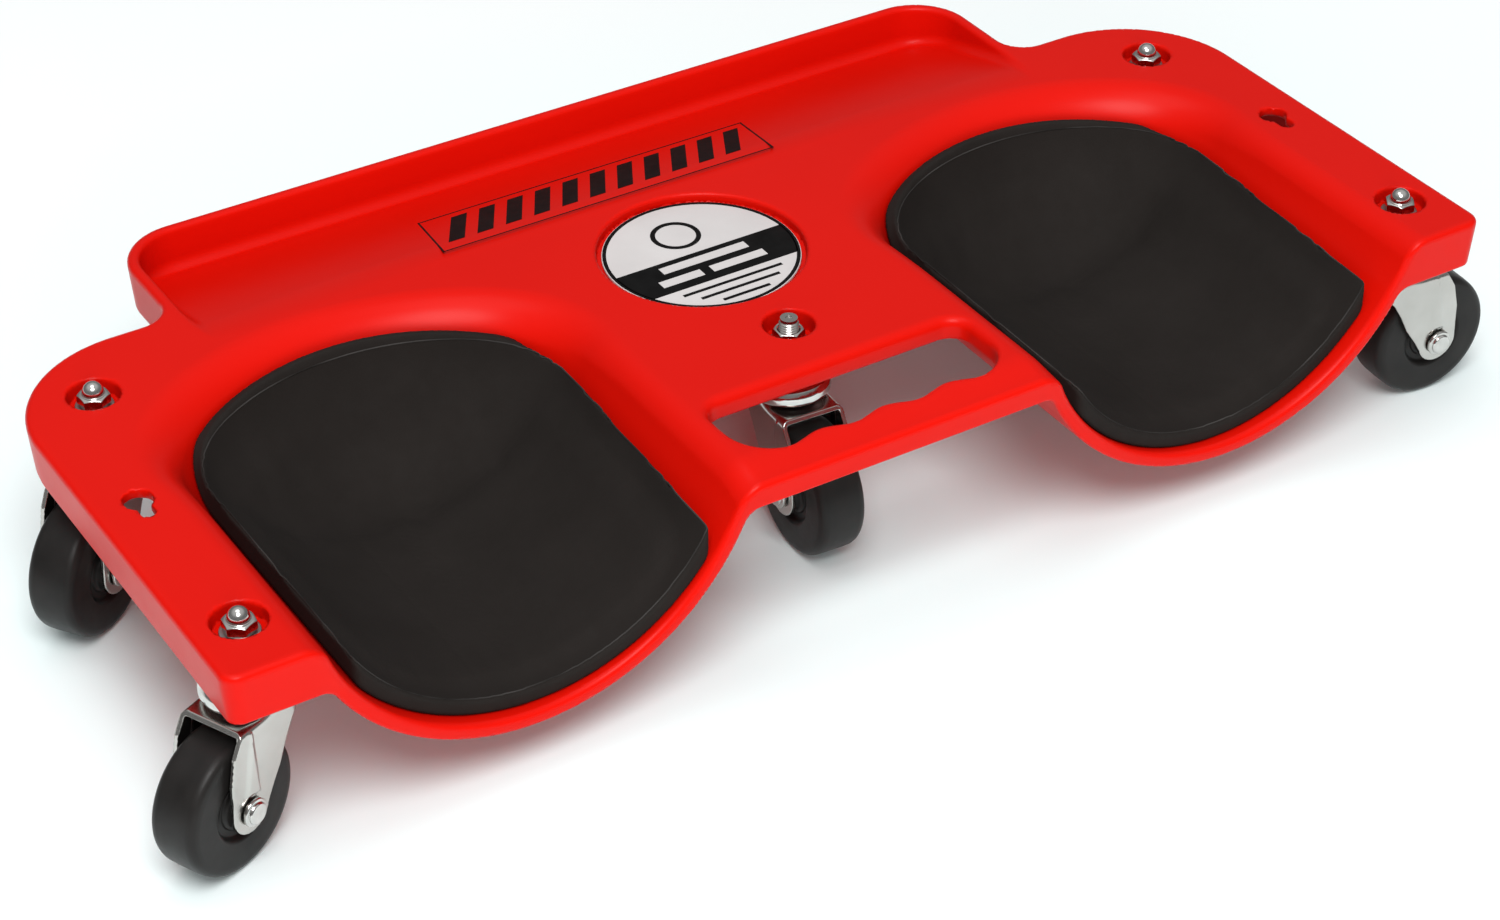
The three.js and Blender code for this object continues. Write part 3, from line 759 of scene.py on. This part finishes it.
def tube_along(name, points, radius):
    """A closed loop of round cord."""
    curve = bpy.data.curves.new(name, "CURVE")
    curve.dimensions = "3D"
    curve.bevel_depth = radius
    curve.bevel_resolution = 3
    spline = curve.splines.new("POLY")
    spline.points.add(len(points) - 1)
    for at, point in zip(spline.points, points):
        at.co = (*point, 1)
    spline.use_cyclic_u = True
    made = new_object(name, curve)
    graph = bpy.context.evaluated_depsgraph_get()
    mesh = bpy.data.meshes.new_from_object(made.evaluated_get(graph))
    bpy.data.objects.remove(made)
    mesh.shade_smooth()
    return new_object(name, mesh)


def resampled(points, spacing):
    """Points at even steps along a closed line."""
    line = np.array(points, float)
    line = np.vstack([line, line[:1]])
    run = np.concatenate([[0], np.cumsum(np.linalg.norm(np.diff(line, axis=0), axis=1))])
    count = max(int(run[-1] / spacing), 2)
    at = np.linspace(0, run[-1], count, endpoint=False)
    return np.stack([np.interp(at, run, line[:, d]) for d in range(3)], 1)


def make_pads():
    """The right pad, and the left one as a copy of it."""
    low = (CUP_X - CUP_R - 3, PAD_FRONT - 3, CUP_AXIS_Z - CUP_R - 3)
    high = (CUP_X + CUP_R + 3, CUP_END_Y + CUP_END_LENGTH + 3, pad_edge(60) + 4)
    pad = moulded("right_pad_cushion", pad_field, low, high, 1.4, 120000)
    swell(pad)
    tree = BVHTree.FromPolygons([v.co for v in pad.data.vertices], [p.vertices for p in pad.data.polygons])

    def on_pad(points):
        return [tree.find_nearest(Vector(point) * MM)[0] for point in points]

    seam = tube_along("right_pad_seam", on_pad(resampled(pad_path(PAD_SEAM_INSET), 2.0)), 0.00035)
    for name, away in (("right", 0), ("left", -2 * CUP_X * MM)):
        cushion, line = pad, seam
        if away:
            cushion = new_object("left_pad_cushion", pad.data.copy())
            line = new_object("left_pad_seam", seam.data.copy())
            for piece in (cushion, line):
                piece.data.transform(Matrix.Translation((away, 0, 0)))
        finish_piece(cushion, COVER, "platform", [f"{name}_knee_pad"])
        finish_piece(line, THREAD, "platform")


# ---- Emblem disc and tray print ----
def flat_print(name, outline, height, thickness):
    """A thin closed sheet with the given (x, y) outline, lying on a sloping or level surface."""
    count = len(outline)
    bottom = [(x, y, height(y) - 0.05) for x, y in outline]
    top = [(x, y, height(y) + thickness) for x, y in outline]
    faces = [list(range(count, 2 * count)), list(range(count - 1, -1, -1))]
    faces += [[i, (i + 1) % count, count + (i + 1) % count, count + i] for i in range(count)]
    points = np.array(bottom + top) * MM
    return new_object(name, mesh_of(name, points, faces))


def joined(name, pieces):
    """One piece from several."""
    with bpy.context.temp_override(active_object=pieces[0], selected_editable_objects=pieces):
        bpy.ops.object.join()
    pieces[0].name = name
    return pieces[0]


def chord_band(radius, low, high, steps=16):
    """The part of a disc between two lines parallel to X."""
    right = [low + (high - low) * i / steps for i in range(steps + 1)]
    arc = [(math.sqrt(radius ** 2 - y ** 2), y) for y in right]
    return arc + [(-x, y) for x, y in reversed(arc)]


def make_disc():
    """The pale disc with its print, a ring, a band and bars, and a black rim at its edge that is partly print
    and partly painted shade of the gap round the disc.
    """
    profile = round_profile([(0, DISC_BOTTOM), (DISC_R, DISC_BOTTOM), (DISC_R, DISC_TOP), (0, DISC_TOP)], 0.4)
    disc = turned("pale_disc", profile, 128)
    disc.data.transform(Matrix.Translation((0, DISC_Y * MM, 0)))
    finish_piece(disc, PALE, "platform", ["emblem_disc"])

    def level(_):
        return DISC_TOP

    def bar(x0, x1, y0, y1):
        return [(x0, DISC_Y + y0), (x1, DISC_Y + y0), (x1, DISC_Y + y1), (x0, DISC_Y + y1)]

    def ring(radius, width, x=0, y=0):
        turns = np.arange(73) * 2 * math.pi / 72
        hole = radius - width
        outer = [(x + radius * math.cos(a), DISC_Y + y + radius * math.sin(a)) for a in turns]
        inner = [(x + hole * math.cos(a), DISC_Y + y + hole * math.sin(a)) for a in turns]
        return [outer[i:i + 2] + inner[i:i + 2][::-1] for i in range(72)]

    band = [(x, DISC_Y + y) for x, y in chord_band(DISC_R - 1.6, DISC_BAND[0], DISC_BAND[1])]
    # The black ring at the disc's edge is partly its printed rim and partly painted shade of the gap between
    # the disc and its recess.
    outlines = [band] + ring(DISC_R - 0.4, 1.8) + ring(12, 2.4, -2, 20)
    outlines += [bar(left, right, low, low + 1.9) for low, left, right in DISC_LINES]
    parts = [flat_print("print", outline, level, 0.1) for outline in outlines]
    finish_piece(joined("disc_print_and_rim_shade", parts), INK, "platform")
    marks = [flat_print("marks", bar(left, right, low, low + 5.4), level, 0.16)
             for low, left, right in DISC_MARKS_ON_BAND]
    finish_piece(joined("disc_band_marks", marks), PALE, "platform")


def make_tray_print():
    """A plain frame with slanted bars."""
    (x0, x1), (y0, y1) = PRINT_X, PRINT_Y
    lean = 10

    def leaning(a, b, low, high):
        shift_low = lean * (low - y0) / (y1 - y0)
        shift_high = lean * (high - y0) / (y1 - y0)
        return [(a + shift_low, low), (b + shift_low, low), (b + shift_high, high), (a + shift_high, high)]

    line = 0.9
    right = x1 - lean
    outlines = [leaning(x0, right, y0, y0 + line), leaning(x0, right, y1 - line, y1),
                leaning(x0, x0 + line, y0, y1), leaning(right - line, right, y0, y1)]
    pitch = (right - x0 - 14) / PRINT_BARS
    low, high, slant = y0 + 10, y1 - 6, 17
    for i in range(PRINT_BARS):
        start = x0 + 8 + pitch * i
        end = start + 0.56 * pitch
        outlines.append([(start, low), (end, low), (end + slant, high), (start + slant, high)])
    parts = [flat_print("print", outline, ramp_height, 0.1) for outline in outlines]
    finish_piece(joined("tray_print", parts), INK, "platform")


# ---- Casters, drawn in millimetres with the stem axis on +Z and the wheel towards +X ----
def fork_outline():
    """The fork's side view, with a round foot about the axle."""
    foot = []
    for i in range(17):
        angle = math.radians(-165 + 165 * i / 16)
        foot.append((TRAIL + FORK_FOOT_R * math.cos(angle), WHEEL_R + FORK_FOOT_R * math.sin(angle)))
    rear = [(-19, 85), (-19, 71), (-14, 66), (-8, 60), (-3, 52), (1.5, 43), (7.5, 34.5)]
    return rear + foot + [(30.5, 50), (27.5, 62), (21.5, 71.5), (21.5, 85)]


FORK_OUTLINE = fork_outline()
FORK_CREASE = [(16.8, 69), (15.4, 39), (23.5, 40)]


def fork_field(x, t, z):
    """Pressed steel: a plate over the wheel and two creased legs down to the axle."""
    from_stem = np.hypot(x, t)
    lifted = z - 1.0 * np.exp(-((from_stem - 14.5) / 1.4) ** 2)
    pushed = np.abs(t) - 0.9 * smooth(-polygon(x, z, FORK_CREASE), -1.3, 1.3)
    half = FORK_HALF_WIDTH - 0.6
    plan = rounded_box(x, pushed, (-19, 90), (-half, half), 11)
    outer = rounded_max(plan, lifted - FORK_TOP, 3.6)
    inner = rounded_max(plan + PLATE, lifted - (FORK_TOP - PLATE), 1.4)
    plates = rounded_max(outer, -inner, 0.35)
    plates = rounded_max(plates, polygon(x, z, FORK_OUTLINE), 0.45)
    plates = rounded_max(plates, 4.2 - from_stem, 0.4)
    return rounded_max(plates, 4.3 - np.hypot(x - TRAIL, z - WHEEL_R), 0.4)


def hexagon(x, y, flats, rounding=0.45):
    """A hexagon with slightly round corners."""
    radius = (flats / 2 - rounding) / math.cos(math.pi / 6)
    corners = [(radius * math.cos(math.pi / 3 * i), radius * math.sin(math.pi / 3 * i)) for i in range(6)]
    return polygon(x, y, corners) - rounding


def nut_mesh(name, flats, bottom, top, bore, dome=None):
    """A chamfered hexagon nut, either open or closed with a dome."""
    def field(x, y, z):
        r = np.hypot(x, y)
        sides = hexagon(x, y, flats)
        ends = np.abs(z - (top + bottom) / 2) - (top - bottom) / 2
        chamfer = 0.5 * (r - flats * 0.47) + 0.866 * ends
        body = rounded_max(rounded_max(sides, ends, 0.3), chamfer, 0.3)
        if dome is None:
            throat = np.maximum(bore, bore + 0.9 + ends)
            return rounded_max(body, throat - r, 0.25)
        radius, centre = dome
        ball = np.hypot(r, np.maximum(z - centre, 0)) - radius
        ball = np.maximum(ball, bottom + 1 - z)
        body = rounded_min(body, ball, 0.5)
        hole = np.maximum(r - bore, z - (centre - 0.3))
        return np.maximum(body, -hole)

    reach = flats * 0.62
    high = top + 1 if dome is None else dome[0] + dome[1] + 1
    step = 0.3
    return moulded(name, field, (-reach, -reach, bottom - 1), (reach, reach, high), step, 9000)


def threaded(radius, low, high, pitch=1.25, depth=0.7):
    """Profile points of a thread, from low to high."""
    count = int((high - low) / pitch)
    points = []
    for i in range(count):
        points += [(radius - depth, low + pitch * i), (radius, low + pitch * (i + 0.5))]
    return points + [(radius - depth, low + pitch * count)]


def stem_mesh(name, top, thread_from, thread_radius):
    """The king pin, with its head under the fork and its thread through the deck."""
    head_top = FORK_TOP - PLATE - 0.3
    profile = [(0, head_top - 2.4), (5.2, head_top - 2.4), (6.3, head_top - 1.4), (6.4, head_top),
               (3.8, head_top), (3.8, thread_from)]
    profile += threaded(thread_radius, thread_from, top - 1)
    profile += [(thread_radius - 0.6, top), (1.6, top), (1.2, top - 0.6), (0, top - 0.6)]
    return turned(name, profile, 48)


def about_axle(name, profile, segments=96):
    """A lathe about the axle: positive heights lie on the side of local -Y."""
    piece = turned(name, profile, segments, "Y")
    piece.data.transform(Matrix.Translation((TRAIL * MM, 0, WHEEL_R * MM)))
    return piece


def wheel_mesh(name):
    """A solid wheel with a round-shouldered tread and a recess round the hub."""
    half = [(6.3, 13.8), (8.7, 13.8), (9.2, 10.2), (10.8, 9.4), (11.2, 8.6), (14, 8.3), (15.2, 10.7),
            (16.2, 11.6), (21, 11.75), (27.6, 11.7), (29.6, 11.2), (31, 9.8), (31.6, 8), (WHEEL_R, 4),
            (WHEEL_R, 0)]
    profile = [(r, -h) for r, h in half[:-1]] + [half[-1]] + half[-2::-1]
    return about_axle(name, round_profile(profile, 0.8), 128)


def bolt_mesh(name):
    """The axle bolt: a low domed head, a plain shank and a threaded end."""
    face = FORK_HALF_WIDTH + 0.3
    head = [(0, face + 2.7), (2.6, face + 2.75), (3.1, face + 2.9), (4.4, face + 2.8), (4.9, face + 2.2),
            (4.9, face + 1.5), (6.0, face + 1.4), (6.4, face + 1.0), (6.4, face)]
    end = threaded(4, -face - 5.2, -face)
    profile = [(0, -face - 6), (3.0, -face - 6)] + end + [(4, -face), (4, face)] + head[::-1]
    return about_axle(name, round_profile(profile, 0.2, 3), 48)


def ball_mesh(name):
    """The ring of balls between the fork and the race."""
    parts = []
    ring, height = BALL_RING
    for i in range(BALL_COUNT):
        angle = 2 * math.pi * i / BALL_COUNT
        arc = [(BALL_R * math.cos(a), BALL_R * math.sin(a)) for a in np.linspace(-math.pi / 2, math.pi / 2, 13)]
        arc[0], arc[-1] = (0, -BALL_R), (0, BALL_R)
        ball = turned("ball", arc, 20)
        at = (ring * MM * math.cos(angle), ring * MM * math.sin(angle), height * MM)
        ball.data.transform(Matrix.Translation(at))
        parts.append(ball)
    return joined(name, parts)


def cup_mesh(name):
    """The pressed race cover over the balls."""
    profile = [(4.1, 83.7), (12, 83.7), (17.5, 81.5), (19.3, 78.5), (19.6, 75.6), (18.9, 74.2), (17.6, 73.9),
               (17.4, 75.5), (17.0, 78), (15, 80.6), (11, 81.7), (4.1, 81.7)]
    return turned(name, round_profile(profile, 0.9), 96)


def tube_profile(inner, outer, low, high, rounding=0.4):
    """A ring with round edges."""
    return round_profile([(inner, low), (outer, low), (outer, high), (inner, high)], rounding)


def caster_pieces():
    """Every shape of a caster: suffix, object, material, body suffix, slot and the CAD piece it replaces."""
    fork_step = 0.7
    fork = moulded("fork", fork_field, (-21, -19, 19), (34, 19, 74.5), fork_step, 45000)
    end = FORK_HALF_WIDTH - PLATE - 0.3
    axle_nut = nut_mesh("axle_nut", 11, 0, 4.5, 4.3)
    away = Matrix.Translation((TRAIL * MM, (FORK_HALF_WIDTH + 0.3) * MM, WHEEL_R * MM))
    axle_nut.data.transform(away @ Matrix.Rotation(math.radians(-90), 4, "X"))
    return [
        ("fork_pressing", fork, ZINC, "swivel", "zinc", "fork"),
        ("bearing_balls", ball_mesh("balls"), ZINC, "swivel", "zinc", "bearing_ring"),
        ("race_cover", cup_mesh("cup"), BRIGHT, "platform", "bright", "race_cup"),
        ("axle_pin", bolt_mesh("bolt"), BRIGHT, "swivel", "bright", "axle_bolt"),
        ("axle_locknut", axle_nut, ZINC, "swivel", "zinc", "axle_nut"),
        ("rubber_wheel", wheel_mesh("wheel"), RUBBER, "roller", "tyre", "wheel"),
        ("hub_tube", about_axle("tube", tube_profile(4.4, 6, -end, end)), DULL, "roller", "bush", "bushing"),
    ]


def make_casters():
    """Five copies of the caster, each turned to its own heading."""
    shapes = caster_pieces()
    side_nut, centre_nut = NUT_SEAT + NUT_LIFT, CENTRE_NUT_SEAT + NUT_LIFT
    dome = (DOME_R, side_nut + NUT_HEIGHT + 0.8)
    cap = nut_mesh("cap", NUT_FLATS, side_nut, side_nut + NUT_HEIGHT, 4.1, dome)
    plain = nut_mesh("plain", NUT_FLATS, centre_nut, centre_nut + NUT_HEIGHT, 4.7)
    long_stem = stem_mesh("long_stem", CENTRE_STEM_TOP, CENTRE_NUT_SEAT, 4.6)
    short_stem = stem_mesh("short_stem", STEM_TOP, NUT_SEAT, 3.8)
    washer = turned("washer", tube_profile(4.1, 8.6, 0.3, 1.7))
    joints = {joint["name"]: joint for joint in frame["joints"]}
    for name in CASTER_NAMES:
        stem_at = Vector(joints[f"{name}_swivel_turn"]["pos_m"])
        axle_at = Vector(joints[f"{name}_wheel_roll"]["pos_m"])
        heading = math.atan2(axle_at.y - stem_at.y, axle_at.x - stem_at.x)
        place = Matrix.Translation((stem_at.x, stem_at.y, 0)) @ Matrix.Rotation(heading, 4, "Z")
        to_axle = Matrix.Translation((TRAIL * MM, 0, WHEEL_R * MM))
        swap = to_axle @ Matrix.Rotation(math.pi, 4, "X") @ to_axle.inverted()
        head_faces_rear = math.cos(heading) < -0.1
        centre = name == "centre"
        nut_replaced = "hex_nut" if centre else "cap_nut"
        rows = shapes + [
            ("stem_bolt", long_stem if centre else short_stem, ZINC, "platform", "zinc", "stem"),
            ("stem_nut", plain if centre else cap, BRIGHT, "platform", "bright", nut_replaced),
            # The washer takes the darker dull steel instead of bright steel: painted shade of the nut recess it
            # sits in.
            ("seat_washer", washer, DULL, "platform", "bright", "washer"),
        ]
        for suffix, shape, material, body, slot, replaced in rows:
            piece = new_object(f"{name}_{suffix}", shape.data.copy())
            if head_faces_rear and replaced in ("axle_bolt", "axle_nut"):
                piece.data.transform(swap)
            if replaced == "washer":
                seat = CENTRE_NUT_SEAT if centre else NUT_SEAT
                piece.data.transform(Matrix.Translation((0, 0, seat * MM)))
            piece.data.transform(place)
            owner = "platform" if body == "platform" else f"{name}_{body}"
            finish_piece(piece, material, owner, [f"{name}_{replaced}"])
    for shape in [row[1] for row in shapes] + [cap, plain, long_stem, short_stem, washer]:
        bpy.data.objects.remove(shape)


# ---- Floor, light and camera ----
def make_stage():
    """A white floor with a painted shadow under the platform, a sky that is brighter overhead, and three lamps;
    the low one has no reflection.
    """
    size = 6.0
    corners = [(-size, -size, 0), (size, -size, 0), (size, size, 0), (-size, size, 0)]
    floor = new_object("floor", mesh_of("floor", corners, [(0, 1, 2, 3)]))
    floor.data.materials.append(floor_with_painted_shadow())
    world = bpy.data.worlds.new("studio")
    world.use_nodes = True
    tree = world.node_tree
    place = node(tree, "ShaderNodeTexCoord")
    parts = node(tree, "ShaderNodeSeparateXYZ")
    tree.links.new(place.outputs["Generated"], parts.inputs["Vector"])
    sky = ramp(tree, parts.outputs["Z"], [(0.0, (0.30, 0.30, 0.30)), (1.0, (1.0, 1.0, 1.0)),
                                          (0.45, (0.34, 0.34, 0.34)), (0.75, (0.85, 0.85, 0.85))])
    background = tree.nodes["Background"]
    tree.links.new(sky, background.inputs["Color"])
    background.inputs["Strength"].default_value = 0.66
    bpy.context.scene.world = world
    for name, spot, size, power in (
            ("overhead", (-0.3, 0.1, 2.2), 1.2, 7),
            ("key", (-0.8, -1.4, 2.5), 1.5, 62),
            ("low_fill", (-0.9, -2.6, 0.5), 1.4, 38)):
        light = bpy.data.lights.new(name, "AREA")
        light.shape = "DISK"
        light.size = size
        light.energy = power
        lamp = new_object(name, light)
        lamp.location = spot
        lamp.rotation_euler = (Vector((0, 0, 0.1)) - Vector(spot)).to_track_quat("-Z", "Y").to_euler()
        lamp.visible_glossy = name != "low_fill"


def make_camera():
    """Seen from the front left, from about 35 degrees above."""
    data = bpy.data.cameras.new("camera")
    data.sensor_width = 36
    data.lens = 80.2
    data.clip_end = 50
    camera = new_object("camera", data)
    camera.location = (-0.6819, -1.1151, 0.9268)
    camera.rotation_euler = (math.radians(54.5), 0, math.radians(-32.13))
    bpy.context.scene.camera = camera


make_camera()
make_stage()
make_platform()
make_disc()
make_tray_print()
make_casters()
make_pads()

bpy.context.scene.view_settings.view_transform = "Standard"
